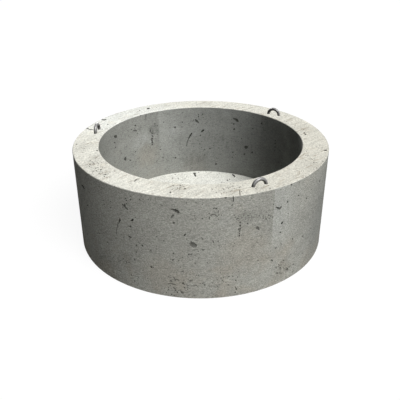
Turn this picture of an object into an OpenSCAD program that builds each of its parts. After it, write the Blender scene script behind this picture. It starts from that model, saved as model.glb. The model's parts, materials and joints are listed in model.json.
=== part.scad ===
// Concrete well ring with a cast-in base, and three steel lifting loops cast into its wall.
// Millimetres. The origin is the centre of the underside and +Z is up.

/* [Concrete ring] */
// Inside diameter of the chamber
bore_d = 1000; // [600:10:1500]
// Thickness of the wall
wall_t = 125; // [100:1:200]
// Height from the underside to the top face
ring_h = 500; // [300:10:1000]
// Thickness of the base that closes the chamber
base_t = 95; // [60:1:150]
// Chamfer on the moulded edges
arris = 3; // [1:0.5:6]

/* [Lifting loops] */
// Diameter of the steel bar
bar_d = 16; // [8:1:20]
// Radius of the bend, at the middle of the bar
bend_r = 31; // [24:1:45]
// Length of the straight legs
leg_l = 150; // [80:5:200]

/* [Near loop] */
// Bearing about the axis of the ring, anticlockwise from +X
near_bearing = 295.5; // [270:0.5:320]
// Distance outside the middle of the wall
near_offset = 4; // [-15:1:15]
// Turn out of line with the wall
near_turn = 1; // [-20:1:20]
// Height of the bend's ends above the top face, negative where they are below it
near_rise = -4; // [-10:1:20]

/* [Far loop] */
// Bearing about the axis of the ring, anticlockwise from +X
far_bearing = 42; // [20:0.5:70]
// Distance outside the middle of the wall
far_offset = -15; // [-15:1:15]
// Turn out of line with the wall
far_turn = 17; // [-20:1:20]
// Height of the bend's ends above the top face, negative where they are below it
far_rise = 0; // [-10:1:20]

/* [Left loop] */
// Bearing about the axis of the ring, anticlockwise from +X
left_bearing = 167; // [140:0.5:200]
// Distance outside the middle of the wall
left_offset = -15; // [-15:1:15]
// Turn out of line with the wall
left_turn = 5; // [-20:1:20]
// Height of the bend's ends above the top face, negative where they are below it
left_rise = 5; // [-10:1:20]

/* [Hidden] */

$fn = 96;
bore_r = bore_d / 2;
outer_r = bore_r + wall_t;
middle_r = bore_r + wall_t / 2;
// How far a cut runs past the face that it opens
overcut = 1;

// Each place is [bearing, distance from the axis, turn, rise].
near_place = [near_bearing, middle_r + near_offset, near_turn, near_rise];
far_place = [far_bearing, middle_r + far_offset, far_turn, far_rise];
left_place = [left_bearing, middle_r + left_offset, left_turn, left_rise];

// Half section of the ring, from the axis outwards: base, wall and chamfered edges.
module ring_section() {
    polygon([
        [0, 0],
        [outer_r - arris, 0],
        [outer_r, arris],
        [outer_r, ring_h - arris],
        [outer_r - arris, ring_h],
        [bore_r + arris, ring_h],
        [bore_r, ring_h - arris],
        [bore_r, base_t],
        [0, base_t],
    ]);
}

// Moves its children from the origin to a loop's place, with their X along the wall.
// The origin comes to the middle between the ends of the loop's bend.
module at_loop(place) {
    rotate([0, 0, place[0]])
        translate([place[1], 0, ring_h + place[3]])
            rotate([0, 0, 90 + place[2]])
                children();
}

// The two straight legs of a loop, down from the ends of its bend, or from above them.
module loop_legs(above = 0) {
    for (side = [-1, 1])
        translate([side * bend_r, 0, -leg_l])
            cylinder(d = bar_d, h = leg_l + above);
}

// The half-round bow of a loop, up from the ends of its bend.
module loop_bow() {
    rotate([90, 0, 0])
        rotate_extrude(angle = 180)
            translate([bend_r, 0])
                circle(d = bar_d);
}

// The holes that a loop's legs leave in the wall, and the start of its bend where that is below the top face.
module loop_sockets(place) {
    sunk = place[3] < 0;
    at_loop(place) {
        loop_legs(above = sunk ? 0 : overcut);
        if (sunk) loop_bow();
    }
}

module concrete_ring() {
    color("#9c9b94")
        difference() {
            rotate_extrude() ring_section();
            for (place = [near_place, far_place, left_place])
                loop_sockets(place);
        }
}

module lifting_loop(place) {
    color("#5d5d60")
        at_loop(place)
            union() {
                loop_bow();
                loop_legs();
            }
}

concrete_ring();
lifting_loop(near_place);  // lifting_loop_near
lifting_loop(far_place);  // lifting_loop_far
lifting_loop(left_place);  // lifting_loop_left
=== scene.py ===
"""Looks of a precast concrete well ring: the cast ring with its base, and three lifting loops of steel bar.

Metres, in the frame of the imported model: the origin is the centre of the underside and +Z is up.
"""
import json
from math import atan2, cos, hypot, pi, radians, sin

import bpy
import numpy as np
from mathutils import Matrix, Vector


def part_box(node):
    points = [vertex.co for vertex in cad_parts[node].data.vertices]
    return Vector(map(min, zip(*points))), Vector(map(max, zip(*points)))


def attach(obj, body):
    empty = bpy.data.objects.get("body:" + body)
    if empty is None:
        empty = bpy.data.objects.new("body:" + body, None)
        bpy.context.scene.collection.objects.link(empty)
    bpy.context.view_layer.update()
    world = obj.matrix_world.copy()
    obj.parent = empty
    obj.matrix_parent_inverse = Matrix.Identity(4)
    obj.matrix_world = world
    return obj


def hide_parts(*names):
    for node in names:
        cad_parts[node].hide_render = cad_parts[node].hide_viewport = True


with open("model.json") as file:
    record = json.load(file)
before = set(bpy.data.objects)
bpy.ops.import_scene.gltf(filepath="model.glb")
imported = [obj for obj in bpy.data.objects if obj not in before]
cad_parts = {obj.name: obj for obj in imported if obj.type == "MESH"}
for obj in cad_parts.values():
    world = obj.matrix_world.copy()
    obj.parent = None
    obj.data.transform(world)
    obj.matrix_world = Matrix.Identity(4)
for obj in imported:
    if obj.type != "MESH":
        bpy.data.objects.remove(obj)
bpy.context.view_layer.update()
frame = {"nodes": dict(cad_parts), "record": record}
scene = bpy.context.scene
scene.view_settings.view_transform = "Standard"

MM = 0.001

# Camera: the photograph is square, and its frame is used wherever a pixel is named
PHOTO_SIDE = 400
CAMERA_PLACE = Vector((0, -2.5342, 1.5066))
CAMERA_DIP = radians(28)
CAMERA_YAW = radians(0.11)
CAMERA_ROLL = radians(-0.38)
LENS = 49.06
SENSOR = 36
FOCAL_PX = LENS / SENSOR * PHOTO_SIDE
CAMERA_TURN = (
    Matrix.Rotation(CAMERA_YAW, 3, "Z")
    @ Matrix.Rotation(pi / 2 - CAMERA_DIP, 3, "X")
    @ Matrix.Rotation(CAMERA_ROLL, 3, "Z")
)


def add_camera():
    lens = bpy.data.cameras.new("photo_camera")
    lens.lens = LENS
    lens.sensor_width = SENSOR
    camera = bpy.data.objects.new("photo_camera", lens)
    camera.matrix_world = Matrix.Translation(CAMERA_PLACE) @ CAMERA_TURN.to_4x4()
    scene.collection.objects.link(camera)
    scene.camera = camera


add_camera()

# Sizes of the ring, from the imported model
ring_vertices = [v.co for v in frame["nodes"]["concrete_ring"].data.vertices]
OUTER_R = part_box("concrete_ring")[1].x
RING_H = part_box("concrete_ring")[1].z
BORE_R = next(m["dims"]["r_mm"] for m in frame["record"]["mounts"] if m["name"] == "chamber") * MM
FLOOR_Z = min(v.z for v in ring_vertices if hypot(v.x, v.y) < BORE_R + 0.1 * MM and v.z > MM)
ARRIS = RING_H - max(v.z for v in ring_vertices if hypot(v.x, v.y) > OUTER_R - 0.1 * MM)

# Mesh of the ring: its segments round the axis, and the lengths of its rows
SEGMENTS = 320
WALL_ROW = 20 * MM
RIM_ROW = 17 * MM
FLOOR_ROW = 40 * MM
UNDERSIDE_ROW = 125 * MM
MERGE_GAP = 0.01 * MM
SHARP_EDGE = radians(32)
WAVINESS = 0.3 * MM

# Strewn holes. Each kind has the seed of its places and the seed of its shapes.
# Air holes on every face above the foot, twice as many low on the walls
HOLE_SPACING = 16 * MM
HOLES_PER_M2 = 150
SMALLEST_HOLE = 1.2 * MM
LARGEST_HOLE = 3 * MM
HOLE_FOOT = 4 * MM
LOW_WALL = 120 * MM, 200 * MM
HOLE_SEEDS = 7, 40
# Chips along the top edges, between two shares of the chamfer's height below the rim
CHIP_SPACING = 40 * MM
CHIPS_PER_M2 = 2500
CHIP_BAND = 0.1, 0.9
CHIP_SEEDS = 21, 60
# Larger holes on the faces that the photograph doesn't show
UNSEEN_SPACING = 35 * MM
UNSEEN_PER_M2 = 60
UNSEEN_SMALLEST = 3.5 * MM
UNSEEN_LARGEST = 11 * MM
UNSEEN_FOOT = 10 * MM
UNSEEN_SEEDS = 33, 80
# Lengths and depths of all of them as shares of their widths, their spin, and how rare the large ones are
HOLE_LENGTHS = 0.7, 1.5
HOLE_DEPTHS = 0.7, 1.1
FULL_SPIN = 6.3
LARGE_RARITY = 3

# Formers that the holes are cut with: how many kinds there are, how uneven they are,
# and how far they stand out of the face
FORMER_KINDS = 4
LUMPINESS = 0.9
LUMP_SIZE = 0.8
LUMP_SEED = 11.3
FORMER_RISE = 0.3

# Marks of the cast faces, read off the photograph.
# Each spot is a pixel across, a pixel down and half its width in pixels.
# A hole or a dent is one spot. A mark has its kind and a row of spots.
# Each kind is its depth, and how dark the dirt and painted shade inside it are: holes are ROUND and dents are
# SHALLOW.
DEEP = 4.5 * MM, 1.0
ROUND = 4 * MM, 0.84
SHALLOW = 2.3 * MM, 0.7
# How much a spot grows, how much longer than wide it may be on its face, and how its sizes vary
SPOT_GROWTH = 1.3
LONGEST_SPOT = 1.7
SPOT_VARIETY = 0.85, 1.15
# Seed of the marks, and the step from lump to lump along a mark as a share of its half width
MARK_SEED = 4
LUMP_STEP = 0.8
OUTER_WALL_HOLES = [
    (87.4, 205.4, 0.8), (103.4, 200.5, 0.55), (104.2, 204.6, 0.65), (110.5, 207.5, 0.6),
    (125.6, 198.4, 0.6), (126.3, 200.5, 0.6), (130.6, 199.5, 0.7), (139.5, 199.5, 0.6), (122.4, 204.4, 0.6),
    (126.5, 203.5, 0.55), (130.3, 226.5, 0.8), (134.5, 281.2, 0.6), (123.5, 237.4, 0.45),
    (107.7, 242.5, 0.7), (136.4, 245.5, 0.7), (142.5, 245.7, 0.8), (134.7, 259.4, 0.7), (120.8, 260.8, 0.6),
    (131.3, 275.1, 0.6), (138.4, 277.3, 0.6), (156.6, 236.7, 0.6), (173.3, 253.4, 0.75),
    (173.0, 259.9, 0.8), (151.2, 266.9, 0.9), (153.3, 267.4, 0.5), (183.0, 271.2, 0.7), (173.8, 277.2, 0.5),
    (174.6, 278.2, 0.4), (170.8, 280.4, 0.5), (171.4, 281.2, 0.5), (183.0, 283.4, 0.7), (184.2, 284.2, 0.5),
    (184.4, 287.4, 0.6), (177.4, 292.4, 0.7), (181.9, 292.3, 0.7), (171.4, 294.3, 0.65),
    (175.3, 290.5, 0.6), (174.4, 288.4, 0.6), (168.5, 289.4, 0.5), (216.2, 208.7, 0.8),
    (240.4, 222.3, 0.85), (240.2, 225.6, 0.85), (238.7, 229.2, 0.7), (240.3, 229.0, 0.7),
    (239.5, 231.1, 0.75), (239.4, 233.3, 0.7), (239.4, 235.7, 0.8), (247.5, 223.4, 0.7),
    (287.5, 201.9, 0.7), (298.3, 195.5, 0.6), (306.4, 198.3, 0.7), (319.6, 181.3, 0.9), (291.5, 184.6, 0.8),
    (280.3, 232.4, 0.65), (292.6, 238.9, 0.6), (302.6, 236.2, 0.6), (271.8, 260.4, 0.8),
    (283.4, 260.4, 0.5), (280.1, 267.9, 0.7), (287.1, 269.3, 0.8), (235.7, 280.4, 0.7), (235.7, 287.3, 0.6),
    (236.3, 289.1, 0.7), (235.1, 292.4, 0.7),
]
OUTER_WALL_DENTS = [
    (110.5, 201.6, 0.7), (99.8, 233.6, 0.6), (87.5, 234.1, 0.6), (136.3, 252.3, 0.7), (150.7, 250.2, 0.5),
    (152.7, 209.1, 0.6), (148.4, 199.4, 0.5), (126.6, 227.2, 0.4), (131.6, 234.3, 0.35), (173.6, 222.9, 1.0),
    (218.4, 219.3, 0.6), (202.4, 218.7, 0.65), (202.3, 204.3, 0.5), (186.4, 239.3, 0.55), (188.7, 254.5, 0.6),
    (191.3, 254.6, 0.5), (170.5, 259.1, 0.4), (165.0, 278.4, 0.4), (187.2, 286.1, 0.5), (187.6, 289.5, 0.5),
    (168.4, 287.5, 0.4), (196.6, 275.2, 0.5), (198.4, 275.4, 0.5), (204.5, 285.3, 0.8), (209.6, 286.2, 0.5),
    (209.0, 288.0, 0.4), (210.5, 289.8, 0.4), (217.3, 286.5, 0.5), (217.8, 289.0, 0.5), (220.3, 272.4, 0.5),
    (218.0, 270.3, 0.4), (221.0, 278.4, 0.6), (223.4, 277.5, 0.5), (222.4, 280.5, 0.7), (223.5, 281.8, 0.4),
    (245.0, 210.4, 0.5), (234.2, 215.4, 0.6), (238.5, 216.6, 0.4), (237.3, 218.9, 0.5), (236.5, 219.5, 0.4),
    (273.4, 204.4, 0.5), (288.2, 213.4, 0.5), (268.8, 215.4, 0.65), (265.8, 219.0, 0.7), (269.6, 218.2, 0.5),
    (281.0, 243.4, 0.5), (234.6, 243.5, 0.5), (276.0, 267.3, 0.6), (278.6, 264.6, 0.6), (289.3, 267.1, 0.5),
    (293.2, 264.3, 0.7), (277.1, 273.2, 0.7), (286.0, 277.1, 0.5), (228.8, 276.6, 0.6), (232.9, 276.3, 0.6),
    (302.7, 253.2, 0.5), (311.3, 189.8, 0.4), (280.8, 190.0, 0.5), (118.9, 261.4, 0.6), (126.5, 262.2, 0.8),
    (129.0, 262.6, 0.7), (123.6, 258.6, 0.5), (113.5, 257.5, 0.5), (97.8, 233.2, 0.5), (156.0, 285.0, 0.5),
]
OUTER_WALL_MARKS = [
    (ROUND, [
        (171.2, 209.6, 0.5), (173.4, 209.4, 0.6), (175.2, 210.4, 1.2),
        (176.8, 211.2, 1.3), (178.4, 212.3, 0.9),
    ]),
    (SHALLOW, [(173.2, 215.6, 0.9), (171.4, 217.2, 0.8)]),
    (DEEP, [(131.0, 221.0, 0.5), (132.4, 220.1, 0.9), (133.2, 219.6, 0.5)]),
    (DEEP, [(128.7, 236.2, 0.35), (130.0, 237.0, 0.5), (131.2, 237.6, 0.4)]),
    (SHALLOW, [(168.0, 276.5, 0.35), (171.0, 277.5, 0.4)]),
    (SHALLOW, [(176.0, 279.3, 0.35), (179.0, 280.2, 0.45)]),
    (SHALLOW, [(170.0, 283.2, 0.35), (174.0, 284.4, 0.45), (176.0, 285.0, 0.35)]),
    (SHALLOW, [(186.0, 284.6, 0.3), (189.0, 285.6, 0.35)]),
    (SHALLOW, [(173.5, 287.6, 0.45), (176.0, 289.5, 0.5)]),
    (SHALLOW, [(180.0, 290.6, 0.35), (182.6, 292.2, 0.5)]),
    (SHALLOW, [(191.0, 286.0, 0.25), (197.0, 285.4, 0.25)]),
    (SHALLOW, [(192.5, 250.4, 0.25), (198.0, 249.6, 0.25)]),
    (SHALLOW, [(188.0, 254.8, 0.35), (192.0, 253.8, 0.35)]),
    (SHALLOW, [(213.4, 208.6, 0.5), (214.8, 208.1, 0.4)]),
    (SHALLOW, [(209.3, 216.8, 0.45), (209.1, 219.2, 0.5)]),
    (SHALLOW, [
        (210.4, 215.8, 0.35), (212.2, 214.6, 0.5), (213.4, 214.3, 0.6),
        (214.6, 214.6, 0.45), (217.4, 216.6, 0.4),
    ]),
    (DEEP, [(184.3, 235.4, 0.6), (185.6, 234.2, 0.45)]),
    (SHALLOW, [(191.0, 244.1, 1.5), (193.3, 244.9, 2.0), (195.6, 245.7, 1.5)]),
    (SHALLOW, [(201.4, 249.2, 0.35), (203.0, 250.0, 0.7), (204.4, 249.5, 0.4)]),
    (SHALLOW, [(212.8, 240.8, 0.5), (213.5, 242.4, 0.55)]),
    (DEEP, [(233.4, 196.6, 0.4), (233.4, 201.5, 0.3)]),
    (SHALLOW, [(233.0, 203.6, 0.25), (231.9, 205.4, 0.55)]),
    (SHALLOW, [(257.2, 227.6, 1.2), (258.5, 229.0, 0.9)]),
    (ROUND, [
        (276.2, 207.3, 0.6), (277.6, 207.8, 0.75), (279.4, 208.6, 0.9),
        (280.4, 207.8, 0.6), (281.2, 206.7, 0.45),
    ]),
    (DEEP, [(281.4, 223.6, 0.65), (282.5, 222.2, 0.55)]),
    (SHALLOW, [(275.3, 248.2, 0.7), (276.4, 247.3, 0.5)]),
    (ROUND, [(124.4, 205.4, 1.1), (125.2, 207.2, 0.6), (126.5, 208.5, 0.6), (127.7, 209.5, 0.45)]),
    (ROUND, [(119.8, 218.2, 0.3), (119.8, 220.2, 0.85), (119.0, 222.5, 0.6)]),
    (SHALLOW, [
        (119.0, 222.5, 0.5), (117.8, 224.5, 0.4), (117.0, 228.0, 0.35),
        (116.4, 231.5, 0.35), (116.4, 234.5, 0.25),
    ]),
    (DEEP, [(82.4, 185.6, 0.8), (84.2, 188.6, 0.8)]),
    (SHALLOW, [(190.0, 281.0, 0.6), (191.6, 280.8, 0.5), (192.5, 279.5, 0.3)]),
    (DEEP, [(225.0, 197.9, 0.6), (226.2, 197.8, 0.6)]),
]
INNER_WALL_HOLES = [
    (115.5, 147.4, 0.65), (135.3, 125.5, 0.75), (152.2, 133.4, 0.7), (152.2, 135.9, 0.7),
    (152.1, 138.8, 0.85), (152.1, 140.7, 0.8), (152.2, 142.4, 0.7), (152.2, 144.4, 0.65),
    (202.7, 114.2, 0.6), (198.4, 114.7, 0.5), (198.4, 116.4, 0.5), (200.4, 135.3, 0.65),
    (209.9, 148.6, 0.7), (216.0, 164.1, 0.8), (232.7, 152.4, 0.6), (232.4, 157.2, 0.6), (175.4, 157.8, 0.7),
    (234.1, 129.2, 0.8), (261.5, 123.4, 0.7), (246.0, 147.2, 1.6), (252.1, 152.4, 0.8), (175.1, 127.4, 0.8),
    (140.5, 115.6, 0.6),
]
INNER_WALL_DENTS = [
    (114.8, 142.5, 0.7), (130.3, 160.3, 0.7), (135.5, 151.7, 0.6), (131.5, 129.5, 0.5), (137.5, 133.5, 0.5),
    (128.4, 135.8, 0.4), (150.4, 130.2, 0.6), (150.1, 131.4, 0.5), (157.2, 134.2, 0.5), (154.8, 123.8, 0.6),
    (163.6, 122.4, 0.5), (160.5, 149.5, 0.5), (163.0, 157.4, 0.7), (121.3, 153.0, 0.5), (182.4, 122.2, 0.6),
    (182.0, 127.1, 0.5), (201.6, 141.3, 0.4), (199.7, 143.9, 0.5), (204.7, 149.4, 0.55), (204.7, 155.0, 0.5),
    (193.8, 146.4, 0.4), (244.3, 154.2, 0.9), (233.8, 123.9, 0.7), (241.6, 138.7, 0.5), (253.2, 117.4, 0.4),
    (260.0, 126.9, 0.5), (252.7, 128.5, 0.5), (275.4, 140.5, 0.5), (275.2, 143.5, 0.6), (275.0, 147.0, 0.6),
    (274.8, 150.5, 0.5),
]
INNER_WALL_MARKS = [
    (ROUND, [(114.4, 136.5, 0.65), (115.7, 136.6, 1.4)]),
    (ROUND, [(125.4, 157.8, 0.7), (125.2, 159.4, 1.2)]),
    (SHALLOW, [(133.5, 130.7, 0.4), (135.0, 130.2, 0.5), (136.4, 131.0, 0.45)]),
    (SHALLOW, [(145.9, 114.8, 0.35), (145.9, 120.0, 0.3)]),
    (ROUND, [(195.4, 119.4, 0.4), (196.5, 120.9, 0.95), (198.4, 122.4, 0.5)]),
    (DEEP, [(191.8, 133.3, 0.55), (190.4, 135.3, 0.6), (188.8, 138.3, 0.4)]),
    (SHALLOW, [(188.8, 138.3, 0.4), (187.3, 141.7, 0.35), (186.6, 146.1, 0.3)]),
    (DEEP, [(203.2, 130.2, 0.75), (201.6, 131.7, 0.5)]),
    (ROUND, [(233.6, 118.6, 0.6), (235.4, 119.2, 0.8), (236.8, 120.2, 1.0), (237.9, 121.4, 0.7)]),
]
RIM_HOLES = [
    (179.7, 189.0, 0.65), (185.0, 188.7, 0.7), (170.4, 192.3, 0.75), (177.4, 187.9, 0.45),
    (180.2, 185.6, 0.55), (173.0, 185.6, 0.5), (100.8, 169.8, 0.8), (96.2, 170.7, 0.6), (95.3, 168.2, 0.5),
    (304.2, 132.9, 0.9), (305.4, 134.3, 0.8), (313.8, 162.7, 0.55), (316.7, 167.9, 0.5),
    (148.2, 108.4, 1.35), (139.6, 110.4, 0.6), (97.0, 150.5, 0.7), (105.7, 174.4, 0.7), (104.5, 176.5, 0.5),
]
RIM_DENTS = [
    (90.0, 160.8, 0.8), (90.0, 164.3, 0.9), (107.8, 124.4, 1.0), (216.3, 192.3, 0.5), (223.6, 189.0, 0.7),
    (305.0, 124.6, 0.5), (295.0, 125.4, 0.6), (317.5, 150.3, 0.4), (156.3, 107.2, 0.5), (108.2, 116.4, 0.4),
    (76.6, 144.2, 0.8), (241.6, 191.6, 0.6),
]
RIM_MARKS = [
    (DEEP, [
        (86.4, 128.4, 0.4), (87.4, 128.3, 0.55), (89.1, 129.3, 0.4),
        (90.8, 129.7, 0.45), (93.2, 129.6, 0.4),
    ]),
    (DEEP, [(101.8, 119.3, 0.5), (103.2, 119.9, 0.75), (104.8, 119.9, 0.75), (106.0, 119.2, 0.5)]),
    (SHALLOW, [(134.6, 181.2, 0.5), (135.8, 180.0, 0.8), (137.0, 179.2, 0.5)]),
    (DEEP, [(324.2, 150.3, 0.65), (325.6, 150.3, 0.7), (326.8, 150.2, 0.5)]),
    (SHALLOW, [(239.7, 190.6, 0.5), (240.0, 195.4, 0.45)]),
    (SHALLOW, [(95.0, 158.4, 0.35), (97.2, 157.2, 0.35)]),
]
FLOOR_HOLES = [(227.4, 180.3, 0.7), (229.4, 179.2, 0.6), (198.6, 172.3, 0.5)]
FLOOR_DENTS = [(172.7, 178.1, 0.7), (178.3, 178.4, 0.6), (175.2, 174.6, 0.5), (217.4, 174.3, 0.4)]
FLOOR_MARKS = [
    (DEEP, [(193.6, 173.3, 0.6), (195.0, 173.3, 0.7), (194.8, 174.8, 0.7), (195.7, 176.2, 0.7)]),
    (DEEP, [(232.6, 174.6, 0.6), (233.8, 175.6, 0.9), (234.6, 176.4, 0.7)]),
]
# Patches of many small pits: the pixel of the middle, the spread across and down in pixels, and the number
OUTER_WALL_PITS = [
    ((176.0, 284.0), (18, 9), 50),
    ((213.0, 285.0), (16, 8), 26),
    ((282.0, 268.0), (10, 6), 30),
    ((213.5, 214.0), (6, 4), 8),
    ((238.0, 218.0), (6, 4), 12),
    ((263.0, 216.5), (8, 5), 14),
    ((126.0, 203.0), (8, 6), 12),
    ((131.0, 240.0), (10, 24), 24),
    ((205.0, 240.0), (40, 30), 40),
]
INNER_WALL_PITS = [
    ((153.0, 130.0), (5, 4), 8),
    ((134.0, 130.0), (7, 5), 14),
    ((200.0, 120.0), (9, 7), 14),
    ((235.0, 123.0), (5, 6), 10),
    ((128.0, 156.0), (8, 6), 12),
    ((165.0, 150.0), (24, 14), 30),
    ((215.0, 145.0), (26, 16), 30),
]
RIM_PITS = [
    ((95.0, 167.0), (9, 7), 70),
    ((105.0, 174.0), (6, 4), 20),
    ((180.0, 187.5), (7, 4), 14),
    ((228.0, 188.5), (10, 5), 30),
    ((262.0, 188.0), (20, 5), 30),
    ((310.0, 160.0), (10, 14), 40),
    ((290.0, 122.0), (18, 8), 30),
    ((215.0, 105.0), (45, 2), 30),
    ((84.0, 148.0), (7, 12), 24),
]
FLOOR_PITS = [
    ((180.0, 180.0), (14, 4), 24),
    ((210.0, 180.0), (26, 5), 34),
]
# How wide a patch spreads, the radius of its pits, how rare the large ones are, and how long a pit may be
PIT_SPREAD = 0.6
SMALLEST_PIT = 1.5 * MM
LARGEST_PIT = 3.2 * MM
PIT_RARITY = 2
LONGEST_PIT = 1.6
# Soft stains of the cast faces: the pixel of the middle, and the reach in metres.
# A stain is whole as far out as STAIN_CORE of its reach.
STAIN_CORE = 0.25
# The third of these darkens the outer wall towards its foot at the left.
DARK_WALL_PATCHES = [
    ((246.5, 217.5), 0.05), ((283.0, 268.0), 0.07), ((103.0, 263.0), 0.14), ((126.0, 261.0), 0.06),
]
DARK_INNER_STAINS = [((154.0, 130.0), 0.05), ((197.0, 165.0), 0.12)]
WARM_WALL_STAINS = [((247.0, 250.0), 0.16), ((162.0, 275.0), 0.13)]
WARM_INNER_STAINS = [((148.0, 156.0), 0.11), ((196.0, 166.0), 0.11)]
GREY_RIM_STAINS = [
    ((91.0, 165.0), 0.09), ((101.0, 172.0), 0.09), ((96.0, 158.0), 0.06), ((228.0, 190.0), 0.08),
    ((262.0, 188.0), 0.06), ((82.0, 147.0), 0.07), ((178.0, 188.0), 0.06), ((316.0, 165.0), 0.08),
    ((306.0, 130.0), 0.06), ((205.0, 104.0), 0.06),
]
# Broad changes of tone: painted shade on the walls, and a paler back left and duller right of the rim
OUTER_PAINTED_SHADE = [((327.0, 205.0), 0.42)]
INNER_PAINTED_SHADE = [((252.0, 135.0), 0.72)]
DIM_INNER = [((272.0, 142.0), 0.3), ((297.0, 148.0), 0.28)]
INNER_EDGE_PAINTED_SHADE = [((301.0, 150.0), 0.26)]
DULL_RIM = [((322.0, 155.0), 0.98)]
PALE_RIM = [((122.0, 115.0), 0.42)]
# Joints of the mould, where the walls change tone: a pixel on each, how far the change of tone is whole
# and how far it reaches, the blur of the joint, its depth in the wall, and the heights between which it fades
OUTER_SEAM = (273.6, 212.0)
INNER_SEAM = (159.0, 132.0)
SHADED_SEAM = (260.5, 136.0)
SEAM_REACH = 20 * MM, 200 * MM
SEAM_BLUR = 1.5 * MM
SEAM_DEPTH = 10 * MM, 20 * MM
SEAM_FOOT = 150 * MM, 350 * MM
# Where one face of the concrete gives way to the next: below the rim, above the floor and inside the bore,
# and behind the chamber's wall. The low part of the walls ends between two heights.
RIM_EDGE = 2.2 * MM, 0.8 * MM
FLOOR_EDGE = 1 * MM, 4 * MM
CHAMBER_EDGE = 20 * MM, 60 * MM
LOW_BAND = 50 * MM, 300 * MM
# Pinholes with painted shade, and dark grains: the cell that holds one, and the share of the cells that do
FINE_SPECKS = 10 * MM, 0.3
COARSE_SPECKS = [(17 * MM, 0.3), (26 * MM, 0.25)]
BROWN_FLECKS = 7 * MM, 0.45
# Height of the fine relief
CONCRETE_RELIEF = 4 * MM
# Bearing of the streaks on the level faces
SCREED_BEARING = radians(-40)

# Bar of the lifting loops, and the sockets that its legs stand in
LOOPS = ("near", "far", "left")
LOOP_MIDDLE = 18 * MM
BAR_SIDES = 20
BOW_STEPS = 24
LEG_ROW = 10 * MM
BAR_UNEVEN = 0.35 * MM
SOCKET_PLAY = 0.3 * MM
SOCKET_RISE = 20 * MM
# Painted shade on the bar, in the colour of its scale: the pixel of the middle, and the reach in metres
BAR_PAINTED_SHADE = [
    ((269.0, 113.6), 0.018), ((271.0, 110.8), 0.016), ((275.0, 110.5), 0.012), ((277.4, 112.6), 0.014),
    ((278.8, 115.6), 0.014), ((99.4, 125.0), 0.016), ((100.0, 128.0), 0.018), ((265.0, 183.6), 0.01),
    ((252.6, 186.6), 0.012),
]
# Height of the scale's relief
SCALE_RELIEF = 0.6 * MM
# How far above the rim the smears of cement reach
CEMENT_REACH = 25 * MM

# Noise of the surfaces: size of its lumps, seed, detail, roughness, and any stretch along x, y and z,
# where a number over 1 flattens the lumps and one under 1 draws them out
NOISES = {
    "long_wave": (140 * MM, 3.1, 3, 0.55, None),
    "short_wave": (40 * MM, 5.7, 3, 0.55, None),
    "wall_cloud": (200 * MM, 1.0, 4, 0.55, None),
    "wall_patch": (50 * MM, 2.0, 3, 0.55, None),
    "wall_lift": (300 * MM, 5.0, 3, 0.55, (1, 1, 5)),
    "wall_streak": (35 * MM, 9.0, 4, 0.7, (1, 1, 8)),
    "wall_dash": (22 * MM, 10.0, 2, 0.5, (1, 1, 2.8)),
    "wall_warm": (120 * MM, 6.0, 3, 0.55, None),
    "rim_cloud": (200 * MM, 21.0, 4, 0.55, None),
    "rim_patch": (50 * MM, 22.0, 3, 0.55, None),
    "rim_streak": (6 * MM, 23.0, 2, 0.55, (0.07, 1, 1)),
    "rim_stroke": (11 * MM, 24.0, 2, 0.55, (0.17, 1, 1)),
    "rim_worn": (50 * MM, 7.0, 2, 0.55, None),
    "rim_warm": (60 * MM, 8.0, 3, 0.55, None),
    "grain": (10 * MM, 3.0, 3, 0.75, (1, 1, 2.4)),
    "sand": (4.5 * MM, 4.0, 2, 0.6, (1, 1, 2)),
    "bar_scale": (12 * MM, 11.0, 4, 0.65, None),
    "bar_fine": (2 * MM, 12.0, 2, 0.55, None),
    "bar_rust": (18 * MM, 13.0, 3, 0.7, None),
    "bar_cement": (6 * MM, 14.0, 3, 0.55, None),
    "bar_dents": (14 * MM, 17.0, 2, 0.55, None),
}

# Bake sheet: charts laid side by side, in metres
SHEET = 2.68
CHART_GAP = 0.025
UNDERSIDE_SHRINK = 0.45
FLOOR_SHRINK = 0.96

# Light: bearing and elevation in degrees, level on a face square to it, and spread in degrees
LAMPS = {
    "key": (-50, 50, 1.53, 34),
    "front_fill": (-90, 12, 0.15, 40),
    "back_fill": (100, 8, 0.7, 24),
    "top_fill": (0, 88, 0.09, 60),
}
AMBIENT = 0.02
# Studio floor: its glow where it is seen, the grey that takes the shadow, its half width, and its drop
STUDIO_GLOW = 0.916
STUDIO_SHADE = (0.07, 0.07, 0.07, 1)
STUDIO_REACH = 30
STUDIO_DROP = 0.5 * MM


def paint(red, green, blue):
    """A colour written in 0 to 255, as the linear colour that a shader takes."""
    levels = [level / 255 for level in (red, green, blue)]
    linear = [c / 12.92 if c <= 0.04045 else ((c + 0.055) / 1.055) ** 2.4 for c in levels]
    return (*linear, 1)


WHITE = (1, 1, 1, 1)
WALL_GREY = paint(147, 147, 140)
# The inner wall is darker and cooler than the outer: painted shade of the chamber.
INNER_GREY = paint(131, 132, 127)
WALL_WARM = paint(146, 139, 126)
WALL_COOL = paint(149, 151, 147)
RIM_CREAM = paint(196, 195, 186)
RIM_WHITE = paint(202, 203, 197)
RIM_GREY = paint(146, 143, 134)
RIM_WARM = paint(205, 196, 178)
RIM_DULL = paint(185, 183, 173)
FLOOR_PALE = paint(200, 200, 193)
HOLE_DIRT_AND_SHADE = paint(38, 37, 33)
SPECK_DARK = paint(84, 83, 77)
FLECK_BROWN = paint(128, 116, 98)
BAR_SCALE_AND_SHADE = paint(30, 29, 28)
BAR_PAINTED_LIT = paint(126, 125, 124)
BAR_RUST = paint(82, 70, 62)
CEMENT_SMEAR = paint(160, 159, 150)


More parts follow.
